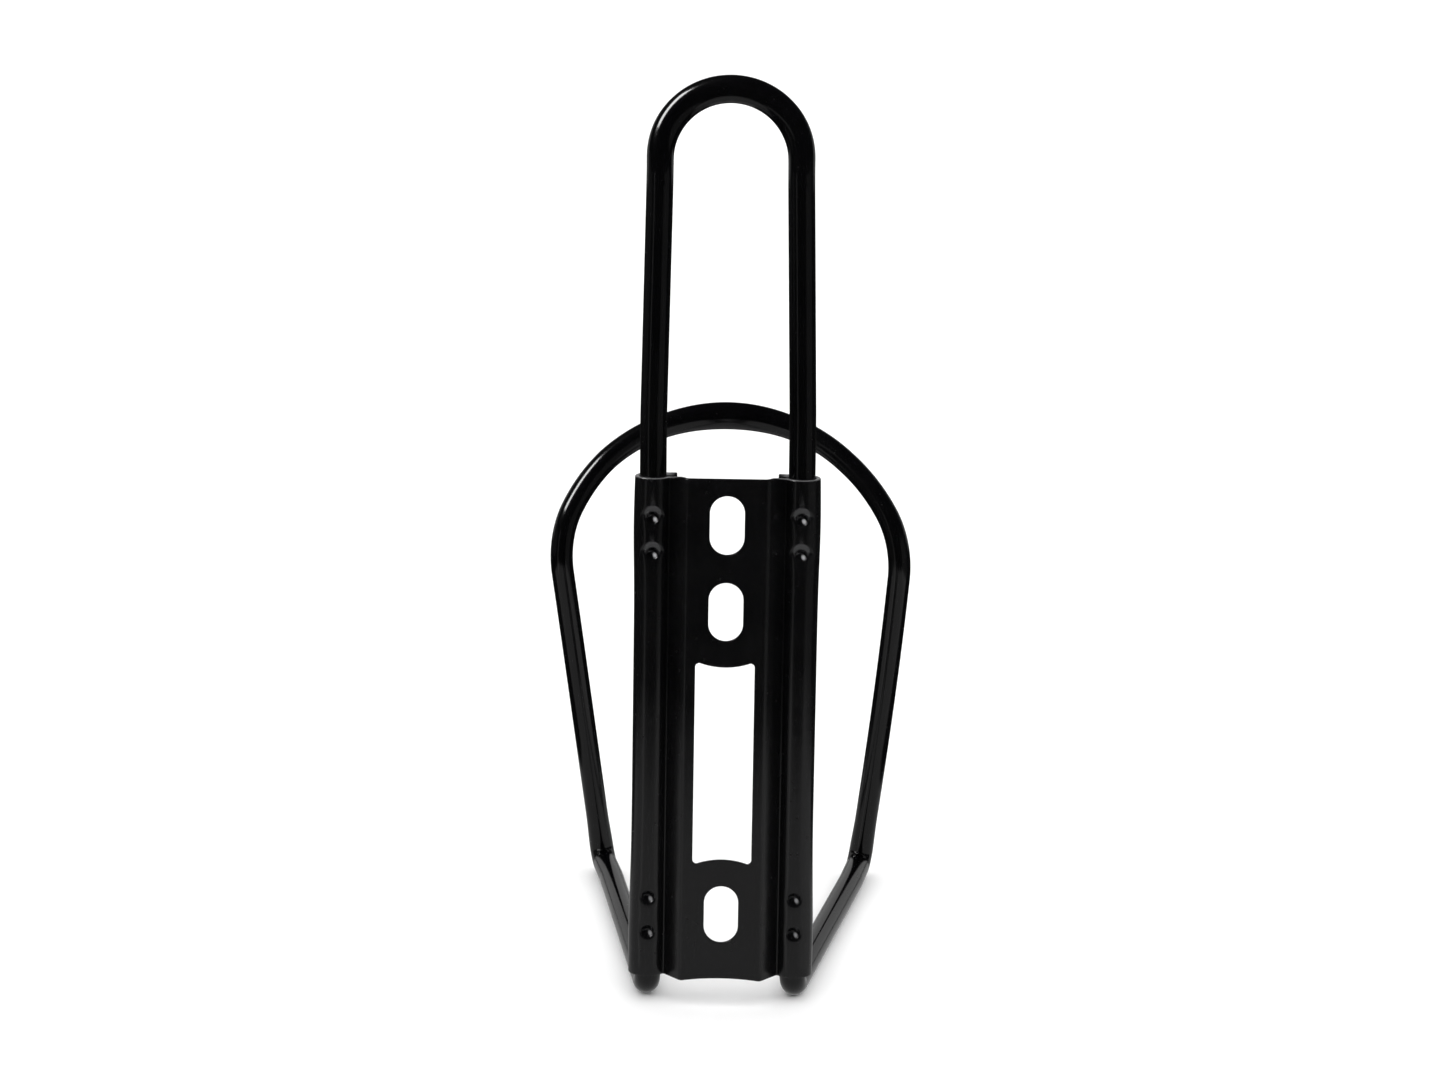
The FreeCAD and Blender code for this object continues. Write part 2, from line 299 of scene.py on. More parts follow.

# %% [markdown]
# ## What the stakes and the cutting do to the sheet
# Eight blows of a pointed punch lock the rods in their channels. Each leaves a round
# pit, pushes the sheet into the rod, and spreads the channel sideways. The upper
# Where the sheet was sheared to length the web runs past the channels a little. Each
# pit gets a painted highlight at its lower right, and each crescent a faint painted
# reflection. The shears wore the paint thin along the tops of the channels, and a
# painted highlight lies there as well. Functions of one point say all this most simply.

# %% Function that works the sheet
STAKE_PITCH = 5.8 * MM
UPPER_STAKES = 29.85 * MM
LOWER_STAKES = -32.8 * MM
PIT_DEPTH = 1.2 * MM
PIT_FLOOR = 0.2 * MM
PIT_MOUTH = 1.25 * MM
FACET_TOP = 1.9 * MM
FACET_SLOPE = math.tan(math.radians(24))
DIMPLE = 0.08 * MM
DIMPLE_REACH = 2.4 * MM
SPREADS = ((0.20, 31, 8), (0.33, -38, 12))  # mm outwards, at a height, over a length
CHANNEL_REACH = 2.6 * MM
TOP_STEP = 0.45 * MM
END_REACH = 3 * MM
# Strength and size of the painted reflection on each crescent, and place of the painted
# highlight in each pit.
MOON_RISE = 0.65 * MM
MOON_R = 1.3 * MM
MOON_SHEEN = 0.045
GLINT_ASIDE = 0.38 * MM
GLINT_DROP = 0.42 * MM
# Worn paint with a painted highlight along the channels' sheared tops and the flaps' tops.
RIM_WEAR_AND_SHEEN = 0.2
FLAP_WEAR_AND_SHEEN = 0.5
stakes = [(middle + side * STAKE_PITCH / 2, middle > 0)
          for middle in (UPPER_STAKES, LOWER_STAKES) for side in (-1, 1)]


def fade(value, start, end):
    """1 at start, 0 at end, smooth between."""
    part = min(max((value - start) / (end - start), 0), 1)
    return 1 - part * part * (3 - 2 * part)


def hump(value, middle, spread):
    """1 at the middle, falling away smoothly on both sides."""
    return math.exp(-((value - middle) / spread) ** 2)


def stake_push(across, height):
    """How far a stake pushes the channel's rear wall, at a side distance and height."""
    push = 0.0
    curve = ROLL_R - math.sqrt(ROLL_R ** 2 - min(abs(across), 0.9 * ROLL_R) ** 2)
    for stake_z, askew in stakes:
        above = height - stake_z
        away = math.hypot(across, above)
        push += PIT_DEPTH * fade(away, PIT_FLOOR, PIT_MOUTH)
        push += DIMPLE * fade(away, DIMPLE_REACH / 3, DIMPLE_REACH)
        if askew and abs(above) < FACET_TOP:
            facet = FACET_SLOPE * (FACET_TOP - above) - curve
            push = max(push, facet * fade(-above, -0.5 * MM, 0.3 * MM))
    return push


def work_sheet(point):
    """Move a point of the plain rolled sheet to where the punches and shears left it."""
    x, y, z = point
    side = math.copysign(1, x)
    out = abs(x) - CHANNEL_X
    spread = sum(amount * hump(z / MM, height, length) for amount, height, length in SPREADS)
    x += side * spread * MM * (1 - fade(out, 0, CHANNEL_REACH))
    rear = fade(y, CHANNEL_Y - 0.6 * MM, CHANNEL_Y)
    if abs(out) < CHANNEL_REACH:
        y += rear * stake_push(out, z)
    past_web = 1 - fade(abs(x), 7.2 * MM, 9.0 * MM) * fade(y, CHANNEL_Y, CHANNEL_Y + MM)
    near_top = 1 - fade(z, plate_high.z - END_REACH, plate_high.z)
    near_bottom = fade(z, plate_low.z, plate_low.z + END_REACH)
    dip = max(0.0, 1 - (x / WEB_HALF) ** 2)
    z += near_bottom * (0.45 * dip - 0.25) * MM - near_top * TOP_STEP * past_web
    return x, y, z


def stake_painted_light(point):
    """Painted reflection on the crescent above an askew stake, painted highlight in each pit."""
    x, y, z = point
    across = abs(x) - CHANNEL_X
    right_of = x - math.copysign(CHANNEL_X, x)
    painted_mark = 0.0
    for stake_z, askew in stakes:
        above = z - stake_z
        if y > CHANNEL_Y or math.hypot(across, above) > 3 * MM:
            continue
        # The crescent's grey is a painted reflection; the spot low and right in the pit is a
        # painted highlight.
        moon = fade(math.hypot(across, above - MOON_RISE), MOON_R - 0.1 * MM, MOON_R + 0.1 * MM)
        moon *= 1 - fade(math.hypot(across, above), 0.95 * MM, 1.1 * MM)
        painted_mark = max(painted_mark, MOON_SHEEN * askew * moon * fade(-above, 0, 0.4 * MM))
        glint = math.hypot(right_of - GLINT_ASIDE, above + GLINT_DROP)
        painted_mark = max(painted_mark, (0.9 if askew else 0.5) * fade(glint, 0.15 * MM, 0.42 * MM))
    return painted_mark


def paint_wear_and_highlight(point):
    """How light grey the paint is: painted highlights and reflections round the stakes, worn
    paint and painted highlights on the channels' sheared tops.
    """
    x, y, z = point
    top = plate_high.z - TOP_STEP
    past_web = 1 - fade(abs(x), 8.5 * MM, 9.2 * MM)
    rim = 1 - fade(z, top - 0.14 * MM, top - 0.02 * MM)
    flap = (1 - fade(z, top - 0.5 * MM, top - 0.3 * MM)) * (1 - fade(y, 6.6 * MM, 6.8 * MM))
    return max(stake_painted_light(point), RIM_WEAR_AND_SHEEN * rim * past_web, FLAP_WEAR_AND_SHEEN * flap * past_web)


print("stake heights:", [round(z / MM, 2) for z, _ in stakes])

# %% [markdown]
# ## The rolled sheet as a mesh
# The section is a thin band, and the plate is that band repeated up the height:
# rings of points, one above the other. At the two sheared ends and along the flaps'
# edges the band gets narrower over the last two tenths of a millimetre, so that
# every edge is rounded. Rows lie close together where the stakes are and at the top.

# %% Build the rings
EDGE = 0.2 * MM
FINE_ROW = 0.15 * MM
COARSE_ROWS = 36
CAP_TURNS = (60, 30, 0, -30, -60)


def ring(inset):
    """Outline of the band, made thinner by an inset on each side."""
    reach = SHEET / 2 - inset
    front = [p + n * reach for p, n in section]
    rear = [p - n * reach for p, n in reversed(section)]

    def cap(point, normal, ahead):
        """Flattened half round that closes the band at a flap's edge."""
        return [point + reach * (0.7 * math.cos(math.radians(t)) * ahead
                                 + math.sin(math.radians(t)) * normal) for t in CAP_TURNS]

    last, last_normal = section[-1]
    first, first_normal = section[0]
    return (front + cap(last, last_normal, Vector((-1, 0)))
            + rear + cap(first, -first_normal, Vector((1, 0))))


def rows():
    """Heights and insets of the rings, from the bottom to the top."""
    low, high = plate_low.z + EDGE, plate_high.z - EDGE
    fine = [z + step * FINE_ROW for z, _ in stakes for step in range(-13, 14)]
    fine += [high - 0.15 * MM, high - 0.3 * MM, high - 0.5 * MM]
    coarse = [low + (high - low) * i / COARSE_ROWS for i in range(COARSE_ROWS + 1)]
    coarse = [z for z in coarse if all(abs(z - f) > 0.1 * MM for f in fine)]
    turns = [math.radians(t) for t in (90, 60, 30)]
    rounding = [(EDGE * math.sin(t), EDGE * (1 - math.cos(t))) for t in turns]
    return ([(low - down, inset) for down, inset in rounding]
            + [(z, 0.0) for z in sorted(fine + coarse)]
            + [(high + rise, inset) for rise, inset in reversed(rounding)])


def rolled_sheet():
    """Closed mesh of the rolled sheet: rings joined by quads, and its two end bands."""
    levels = rows()
    points = [work_sheet((p.x, p.y, z)) for z, inset in levels for p in ring(inset)]
    around = len(ring(0))
    line = len(section)
    caps = len(CAP_TURNS)
    faces = []
    for level in range(len(levels) - 1):
        base = level * around
        for i in range(around):
            after = (i + 1) % around
            faces.append((base + i, base + around + i, base + around + after, base + after))
    for base, flip in ((0, False), ((len(levels) - 1) * around, True)):
        ends = [[base + i, base + i + 1, base + 2 * line + caps - 2 - i,
                 base + 2 * line + caps - 1 - i] for i in range(line - 1)]
        ends.append([base + line - 1 + i for i in range(caps + 2)])
        ends.append([base + (2 * line + caps - 1 + i) % around for i in range(caps + 2)])
        faces += [tuple(reversed(face)) if flip else tuple(face) for face in ends]
    mesh = bpy.data.meshes.new("rolled_sheet")
    mesh.from_pydata(points, [], faces)
    print("sheet:", len(points), "points,", len(levels), "rows")
    return mesh


def link(name, mesh):
    """A new object of a mesh, in the scene."""
    made = bpy.data.objects.new(name, mesh)
    bpy.context.scene.collection.objects.link(made)
    return made


def face_outwards(mesh):
    """Turn every face of a closed mesh outwards."""
    work = bmesh.new()
    work.from_mesh(mesh)
    bmesh.ops.recalc_face_normals(work, faces=work.faces)
    work.to_mesh(mesh)
    work.free()


plate_blank = link("plate_blank", rolled_sheet())
face_outwards(plate_blank.data)

# %% [markdown]
# ## Punches for the slots and the window
# A punch has the outline of its hole. Here it is a prism whose wall flares by about
# a tenth of a millimetre at both faces of the sheet, so that cutting it away leaves
# a hole with rounded lips. The slots are a straight run with two half circles; the
# window has four corners and two ends that bulge inwards.

# %% Outlines of the holes
LIP = 0.12 * MM
SLOT_R = 2.75 * MM
SLOT_LENGTH = 9.5 * MM
WINDOW_HALF = 4.725 * MM
WINDOW_TOP = 9.95 * MM
WINDOW_BOTTOM = -23.85 * MM
WINDOW_END_R = 12.0 * MM
WINDOW_CORNER = 0.6 * MM
CORNER_DROP = 0.3 * MM
SECOND_SLOT_DROP = 14 * MM
bolts = frame["record"]["mounts"][0]["dims"]["spacing_y_mm"] * MM
slot_heights = (bolts / 2, bolts / 2 - SECOND_SLOT_DROP, -bolts / 2)


def slot_outline(height):
    """Anticlockwise outline of an upright slot, whose middle is at a height."""
    reach = SLOT_LENGTH / 2 - SLOT_R
    turns = [math.radians(7.5 * i) for i in range(25)]
    top = [(SLOT_R * math.cos(t), height + reach + SLOT_R * math.sin(t)) for t in turns]
    bottom = [(-x, 2 * height - z) for x, z in top]
    return top + bottom


def window_outline():
    """Anticlockwise, from the right lower corner; each corner is a small round."""
    sagitta = WINDOW_END_R - math.sqrt(WINDOW_END_R ** 2 - WINDOW_HALF ** 2)
    flat = WINDOW_HALF - WINDOW_CORNER
    spots = []
    for side, end in ((1, WINDOW_TOP), (-1, WINDOW_BOTTOM)):
        bulge = [(side * flat * (1 - 2 * i / 20)) for i in range(21)]
        round_off = [math.radians(15 * i) for i in range(6)]
        corner_z = end - side * (WINDOW_CORNER + CORNER_DROP)
        spots += [(side * (flat + WINDOW_CORNER * math.cos(t)),
                   corner_z + side * WINDOW_CORNER * math.sin(t)) for t in round_off]
        spots += [(x, end - side * (sagitta - (WINDOW_END_R - math.sqrt(
            WINDOW_END_R ** 2 - x ** 2)))) for x in bulge]
        spots += [(-side * (flat + WINDOW_CORNER * math.cos(t)),
                   corner_z + side * WINDOW_CORNER * math.sin(t)) for t in reversed(round_off)]
    return spots


def punch(outline):
    """Prism of an outline, with flared lips at both faces of the sheet."""
    count = len(outline)
    flat = [Vector(spot) for spot in outline]
    normals = []
    for i in range(count):
        run = flat[(i + 1) % count] - flat[i - 1]
        normals.append(Vector((run.y, -run.x)).normalized())
    turns = [math.radians(22.5 * i) for i in range(5)]
    levels = [(-2 * SHEET, LIP)]
    levels += [(LIP - LIP * math.cos(t), LIP - LIP * math.sin(t)) for t in turns]
    levels += [(SHEET - y, flare) for y, flare in reversed(levels)]
    points = [(p.x + n.x * flare, y, p.y + n.y * flare)
              for y, flare in levels for p, n in zip(flat, normals)]
    faces = [(base + i, base + (i + 1) % count, base + count + (i + 1) % count, base + count + i)
             for base in range(0, count * (len(levels) - 1), count) for i in range(count)]
    faces.append(tuple(range(count)))
    faces.append(tuple(reversed(range(len(points) - count, len(points)))))
    mesh = bpy.data.meshes.new("punch")
    mesh.from_pydata(points, [], faces)
    face_outwards(mesh)
    return link("punch", mesh)


punches = [punch(slot_outline(height)) for height in slot_heights]
punches.append(punch(window_outline()))
print("punches:", len(punches))

# %% [markdown]
# ## Cutting the holes
# Each punch is cut away with an exact boolean, which keeps the sheet closed. The
# shading normals then follow the large flat faces, so the web looks flat up to the
# rounded lips. Last the plate gets its paint and, at each point, its share of light
# grey: worn paint, and painted highlights and painted reflections.

# %% Cut the holes and finish the plate
def plain_copy(source, name):
    """The evaluated object as a plain mesh object; the source is thrown away."""
    depsgraph = bpy.context.evaluated_depsgraph_get()
    mesh = bpy.data.meshes.new_from_object(source.evaluated_get(depsgraph), depsgraph=depsgraph)
    mesh.name = name
    bpy.data.objects.remove(source)
    return link(name, mesh)


for tool in punches:
    cutter = plate_blank.modifiers.new("cut", "BOOLEAN")
    cutter.operation = "DIFFERENCE"
    cutter.solver = "EXACT"
    cutter.object = tool
plate_blank = plain_copy(plate_blank, "plate_punched")
for tool in punches:
    bpy.data.objects.remove(tool)
plate_blank.data.shade_smooth()
plate_blank.data.set_sharp_from_angle(angle=math.radians(35))
weighted = plate_blank.modifiers.new("flat faces lead", "WEIGHTED_NORMAL")
weighted.keep_sharp = True
plate = plain_copy(plate_blank, "back_plate_formed")
plate.data.materials.clear()
plate.data.materials.append(sheet_paint)
# Light grey share at each point: worn paint, and painted highlights and painted reflections.
grey_share = plate.data.attributes.new("paint_wear_and_highlight", "FLOAT", "POINT")
grey_share.data.foreach_set("value", [paint_wear_and_highlight(v.co) for v in plate.data.vertices])
print("plate faces:", len(plate.data.polygons))

# %% [markdown]
# ## The line that a rod follows
# A bent rod is a centre line and a section. The line is made of straight runs with
# tangent arcs, as a bending jig makes it. Every point of the line also says how
# the rod is squeezed there: two factors for its two widths, the direction of the
# first, and a dent or a swelling on one side.

# %% Points of a rounded line
STEP = 0.6 * MM


def rounded(corners):
    """Closely spaced points along straight runs whose corners are rounded.

    A corner is (point, radius).
    """
    spots = []
    start = corners[0][0]
    for (before, _), (corner, radius), (after, _) in zip(corners, corners[1:], corners[2:]):
        back = (before - corner).normalized()
        onward = (after - corner).normalized()
        half_turn = (math.pi - back.angle(onward)) / 2
        into = corner + back * radius * math.tan(half_turn)
        centre = corner + (back + onward).normalized() * radius / math.cos(half_turn)
        spots += straight(start, into)
        first = into - centre
        side = -back
        pieces = max(4, math.ceil(2 * half_turn / math.radians(6)),
                     math.ceil(2 * half_turn * radius / STEP))
        for i in range(pieces):
            turned = 2 * half_turn * i / pieces
            spots.append(centre + first * math.cos(turned) + side * radius * math.sin(turned))
        start = corner + onward * radius * math.tan(half_turn)
    return spots + straight(start, corners[-1][0]) + [corners[-1][0]]


def straight(start, end):
    """Points of a straight run, without its last one."""
    pieces = max(1, math.ceil((end - start).length / STEP))
    return [start.lerp(end, i / pieces) for i in range(pieces)]


def both_sides(half_line):
    """Half a line, then its mirror image back from the middle."""
    middle = [p for p in half_line if p.x > 0.01 * MM]
    centre = Vector((0, half_line[-1].y, half_line[-1].z))
    return middle + [centre] + [Vector((-p.x, p.y, p.z)) for p in reversed(middle)]


print("points along a rod are at most", round(STEP / MM, 2), "mm apart")

# %% [markdown]
# ## One node tree for both rods
# Both rods are the same thing, a section that follows a line, so one Geometry Nodes
# tree makes both. It turns the line into a curve, sweeps a circle along it, and
# then moves each point of the skin: towards or away from the line along the two
# squeeze directions, and in or out where there is a dent or a swelling.

# %% Build the rod tree
FOCUS = 3.0  # how narrow a dent or a swelling is round the rod


def rod_tree():
    """The node tree that makes a rod from a line, and the identifiers of its inputs."""
    tree = bpy.data.node_groups.new("bent_rod", "GeometryNodeTree")
    sockets = {}
    for name, kind in (("Line", "NodeSocketGeometry"), ("Rod radius", "NodeSocketFloat"),
                       ("Sides", "NodeSocketInt"), ("Paint", "NodeSocketMaterial")):
        item = tree.interface.new_socket(name, in_out="INPUT", socket_type=kind)
        sockets[name] = item.identifier
    tree.interface.new_socket("Rod", in_out="OUTPUT", socket_type="NodeSocketGeometry")
    source = node(tree, "NodeGroupInput").outputs

    def read(name, kind):
        found = node(tree, "GeometryNodeInputNamedAttribute", data_type=kind)
        found.inputs["Name"].default_value = name
        return found.outputs["Attribute"]

    def vector(operation, links, **settings):
        return node(tree, "ShaderNodeVectorMath", links, operation=operation, **settings)

    def number(operation, links, **settings):
        return node(tree, "ShaderNodeMath", links, operation=operation, **settings)

    curve = node(tree, "GeometryNodeMeshToCurve", {"Mesh": source["Line"]})
    kept = node(tree, "GeometryNodeCaptureAttribute", {"Geometry": curve.outputs["Curve"]},
                domain="POINT")
    kept.capture_items.new("VECTOR", "Centre")
    where = node(tree, "GeometryNodeInputPosition")
    tree.links.new(where.outputs["Position"], kept.inputs["Centre"])
    circle = node(tree, "GeometryNodeCurvePrimitiveCircle",
                  {"Resolution": source["Sides"], "Radius": source["Rod radius"]})
    skin = node(tree, "GeometryNodeCurveToMesh",
                {"Curve": kept.outputs["Geometry"], "Profile Curve": circle.outputs["Curve"]})
    skin.inputs["Fill Caps"].default_value = True
    spoke = vector("SUBTRACT", {0: where.outputs["Position"], 1: kept.outputs["Centre"]})
    moves = []
    for direction, factor in (("across", "thin"), ("beside", "wide")):
        axis = read(direction, "FLOAT_VECTOR")
        share = vector("DOT_PRODUCT", {0: spoke.outputs["Vector"], 1: axis})
        extra = number("SUBTRACT", {0: read(factor, "FLOAT")})
        extra.inputs[1].default_value = 1.0
        amount = number("MULTIPLY", {0: share.outputs["Value"], 1: extra.outputs["Value"]})
        moves.append(vector("SCALE", {0: axis, "Scale": amount.outputs["Value"]}))
    side = read("side", "FLOAT_VECTOR")
    unit = vector("NORMALIZE", {0: spoke.outputs["Vector"]})
    facing = number("MAXIMUM", {0: vector("DOT_PRODUCT", {0: unit.outputs["Vector"],
                                                          1: side}).outputs["Value"]})
    facing.inputs[1].default_value = 0.0
    focus = number("POWER", {0: facing.outputs["Value"]})
    focus.inputs[1].default_value = FOCUS
    swell = number("MULTIPLY", {0: focus.outputs["Value"], 1: read("swell", "FLOAT")})
    moves.append(vector("SCALE", {0: side, "Scale": swell.outputs["Value"]}))
    total = vector("ADD", {0: moves[0].outputs["Vector"], 1: moves[1].outputs["Vector"]})
    total = vector("ADD", {0: total.outputs["Vector"], 1: moves[2].outputs["Vector"]})
    shaped = node(tree, "GeometryNodeSetPosition",
                  {"Geometry": skin.outputs["Mesh"], "Offset": total.outputs["Vector"]})
    smooth = node(tree, "GeometryNodeSetShadeSmooth", {"Geometry": shaped.outputs["Geometry"]})
    real = node(tree, "GeometryNodeRealizeInstances", {"Geometry": smooth.outputs["Geometry"]})
    painted = node(tree, "GeometryNodeSetMaterial",
                   {"Geometry": real.outputs["Geometry"], "Material": source["Paint"]})
    node(tree, "NodeGroupOutput", {"Rod": painted.outputs["Geometry"]})
    print("rod tree:", len(tree.nodes), "nodes")
    return tree, sockets


ROD_SIDES = 40
bent_rod, rod_sockets = rod_tree()


def make_rod(name, line):
    """Sweep a rod; line is a list of (point, across, thin, wide, side, swell)."""
    mesh = bpy.data.meshes.new(name + "_line")
    points = [row[0] for row in line]
    mesh.from_pydata(points, [(i, i + 1) for i in range(len(points) - 1)], [])
    besides = []
    for i, row in enumerate(line):
        heading = points[min(i + 1, len(points) - 1)] - points[max(i - 1, 0)]
        besides.append(heading.cross(row[1]).normalized())
    columns = {"across": [row[1] for row in line], "beside": besides,
               "side": [row[4] for row in line]}
    for key, values in columns.items():
        layer = mesh.attributes.new(key, "FLOAT_VECTOR", "POINT")
        layer.data.foreach_set("vector", [c for v in values for c in v])
    for key, column in (("thin", 2), ("wide", 3), ("swell", 5)):
        layer = mesh.attributes.new(key, "FLOAT", "POINT")
        layer.data.foreach_set("value", [row[column] for row in line])
    source = link(name + "_source", mesh)
    modifier = source.modifiers.new("bent_rod", "NODES")
    modifier.node_group = bent_rod
    modifier[rod_sockets["Rod radius"]] = ROD / 2
    modifier[rod_sockets["Sides"]] = ROD_SIDES
    modifier[rod_sockets["Paint"]] = rod_paint
    made = plain_copy(source, name)
    face_outwards(made.data)
    made.data.set_sharp_from_angle(angle=math.radians(50))
    print(name, len(made.data.polygons), "faces")
    return made


# %% [markdown]
# ## The upper hoop
# A jig bends the rod into a hairpin, then a second tool folds its head towards the
# bottle, so that it can catch the bottle's neck. The folding tool leaves a small nick
# on each leg, and the hairpin's bend presses the rod slightly oval. The whole hairpin
# also leans a third of a degree to one side, as a hand-fed machine leaves it.

# %% Make the upper hoop
LEAN_Z = 48.0 * MM
LEAN_R = 250.0 * MM
HOOK_Z = 85.6 * MM
HOOK_TILT = math.radians(20)
HOOK_R = 14.0 * MM
HOOK_LENGTH = 15.1 * MM
ARCH = 11.05 * MM
REAR = Vector((0, -1, 0))
LEAN_START = 30.0 * MM
UPPER_LEAN = math.tan(math.radians(0.32))
NICK_DEPTH = 0.16 * MM
UPPER_OVAL = 0.06


def upper_line():
    """The upper hoop's line, with its squeezes and dents."""
    top = Vector((ARCH, CHANNEL_Y + HOOK_LENGTH * math.sin(HOOK_TILT),
                  HOOK_Z + HOOK_LENGTH * math.cos(HOOK_TILT)))
    corners = [(Vector((CHANNEL_X, CHANNEL_Y, upper_low.z)), 0),
               (Vector((CHANNEL_X, CHANNEL_Y, LEAN_Z)), LEAN_R),
               (Vector((ARCH, CHANNEL_Y, HOOK_Z)), HOOK_R),
               (top, ARCH),
               (Vector((0, top.y, top.z)), 0)]
    line = []
    for point in both_sides(rounded(corners)):
        tilt = HOOK_TILT * (1 - fade(point.z, HOOK_Z - 2.5 * MM, HOOK_Z + 2.5 * MM))
        across = Vector((0, math.cos(tilt), -math.sin(tilt)))
        oval = 1 - fade(point.z, HOOK_Z + 2 * MM, HOOK_Z + 10 * MM)
        nick = hump(point.z / MM, HOOK_Z / MM + 0.2, 0.35)
        dent = -stake_push(0, point.z) - NICK_DEPTH * nick
        lean = max(0.0, point.z - LEAN_START) * UPPER_LEAN
        line.append((point - Vector((lean, 0, 0)), across, 1 - UPPER_OVAL * oval,
                     1 + UPPER_OVAL * oval, REAR, dent))
    return line


upper_hoop = make_rod("upper_hoop_bent", upper_line())

# %% [markdown]
# ## The front hoop
# This rod is first bent flat: two straight arms, two shoulders and a shallow crown.
# Then it is wrapped round a drum of the bottle's size, so its flat outline becomes
# a curve in space: the distance along the outline becomes an angle round the
# bottle. Last the arms are kinked sharply over the shelf. The loop also sways about
# two millimetres to one side below its shoulders.

# %% Flat outline of the front hoop
CROWN_Z = 35.0 * MM
CROWN_R = 39.5 * MM
CROWN_ANGLE = math.radians(51.5)
SHOULDER_R = 14.3 * MM
ARM_LEAN = math.radians(9.4)
FOOT_TOP = -25.5 * MM
FOOT_R = 2.71 * MM
KINK_R = 2.6 * MM
ARM_PIECES = 40
WRAP_R = BOTTLE_R + ROD / 2
SWAY = 2.1 * MM
SWAY_TOP = 28.0 * MM
SWAY_LENGTH = 33.0 * MM


def arc(centre, radius, start, end):
    """Points of a flat arc; angles are measured from straight up."""
    pieces = math.ceil(radius * abs(end - start) / STEP)
    return [(centre[0] + radius * math.sin(start + (end - start) * i / pieces),
             centre[1] + radius * math.cos(start + (end - start) * i / pieces))
            for i in range(pieces + 1)]


def flat_outline():
    """Arm, shoulder and crown of one half laid flat, from the shelf upwards."""
    crown_z = CROWN_Z - CROWN_R
    shoulder = ((CROWN_R - SHOULDER_R) * math.sin(CROWN_ANGLE),
                crown_z + (CROWN_R - SHOULDER_R) * math.cos(CROWN_ANGLE))
    bend = arc(shoulder, SHOULDER_R, math.pi / 2 + ARM_LEAN, CROWN_ANGLE)
    crown = arc((0, crown_z), CROWN_R, CROWN_ANGLE, 0)
    top, height = bend[0]
    foot = (top - math.tan(ARM_LEAN) * (height - SHELF_Z), SHELF_Z)
    arm = [(foot[0] + (top - foot[0]) * i / ARM_PIECES,
            foot[1] + (height - foot[1]) * i / ARM_PIECES) for i in range(ARM_PIECES)]
    return arm + bend + crown[1:]


def wrap(spot):
    """A flat spot, as (along, height), wrapped round the drum."""
    angle = spot[0] / WRAP_R
    return Vector((WRAP_R * math.sin(angle), BOTTLE_Y + WRAP_R * math.cos(angle), spot[1]))


def sway(point):
    """Set a point of the loop aside, as a hand pull during bending left it."""
    below = max(0.0, SWAY_TOP - point.z)
    away = min(1.0, max(0.0, (point.y - CHANNEL_Y) / (1.6 * BOTTLE_R)))
    return point + Vector((SWAY * (1 - math.exp(-below / SWAY_LENGTH)) * away, 0, 0))


print("flat outline:", len(flat_outline()), "points")

# %% [markdown]
# ## How bending squeezes the front hoop
# Pressing on the drum makes the rod a little narrower all round the loop, and makes
# the crown much wider and thinner. Each sharp kink pinches a small roll of metal on
# its inside, with a crease beside it. Inside the channels the stakes dent the rod.

# %% Make the front hoop
LOOP_NARROW = 0.085
LOOP_THIN = 0.055
CROWN_WIDER = 0.245
CROWN_THINNER = 0.085
CROWN_SPREAD = 19  # degrees round the bottle
PINCH = 0.75 * MM
CREASE = 0.35 * MM
INSIDE_KINK = Vector((0, -1, 1)).normalized()
SHELF_ACROSS = Vector((0.9, 0.1, 0))
JOINED_POINT = 6  # the arm's point where the kink's arc ends and the wrapped arm goes on


def squeeze(point):
    """Direction of the first width, and the factors of both widths, on the front hoop."""
    radial = Vector((point.x, point.y - BOTTLE_Y, 0)).normalized()
    on_loop = 1 - fade(point.y, BOTTLE_Y, BOTTLE_Y + 15 * MM)
    above = 1 - fade(point.z, SHELF_Z + 2 * MM, SHELF_Z + 9 * MM)
    across = (radial * on_loop + SHELF_ACROSS * (1 - on_loop)).normalized()
    round_crown = math.degrees(abs(math.atan2(point.x, point.y - BOTTLE_Y)))
    crown = hump(round_crown, 0, CROWN_SPREAD) * on_loop
    thin = 1 - LOOP_THIN * on_loop * above - CROWN_THINNER * crown * above
    wide = 1 - LOOP_NARROW * on_loop * above + CROWN_WIDER * crown * above
    return across, thin, wide


def dents(point, kink):
    """Direction and height of the roll at a kink, or of the dents in the channels."""
    if point.y < BOTTLE_Y - 20 * MM:
        return REAR, -stake_push(0, point.z) if point.z > SHELF_Z + 4 * MM else 0.0
    away = point - Vector((math.copysign(kink.x, point.x), kink.y, kink.z))
    pinch = hump(away.length / MM, 0.6, 1.1)
    crease = hump(away.length / MM, 2.9, 0.6)
    return INSIDE_KINK, PINCH * pinch - CREASE * crease


def front_line():
    """The front hoop's line, with its squeezes and dents."""
    loop = [wrap(spot) for spot in flat_outline()]
    kink = loop[0]
    corners = [(Vector((CHANNEL_X, CHANNEL_Y, FOOT_TOP)), 0),
               (Vector((CHANNEL_X, CHANNEL_Y, SHELF_Z)), FOOT_R),
               (kink, KINK_R),
               (loop[JOINED_POINT], 0)]
    points = both_sides(rounded(corners)[:-1] + loop[JOINED_POINT:])
    return [(sway(point), *squeeze(point), *dents(point, kink)) for point in points]


front_hoop = make_rod("front_hoop_bent", front_line())

# %% [markdown]
# ## Put the pieces on the body
# The three finished meshes stand for the three CAD pieces, which are hidden. Nothing moves on
# this object, so all of them ride on the one body.

# %% Ride and replace
for piece, cad_node, finish in ((plate, "back_plate", "painted_sheet"),
                                (upper_hoop, "upper_hoop", "painted_rod"),
                                (front_hoop, "front_hoop", "painted_rod")):
    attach(piece, "root")
    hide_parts(cad_node)
print("pieces ready")

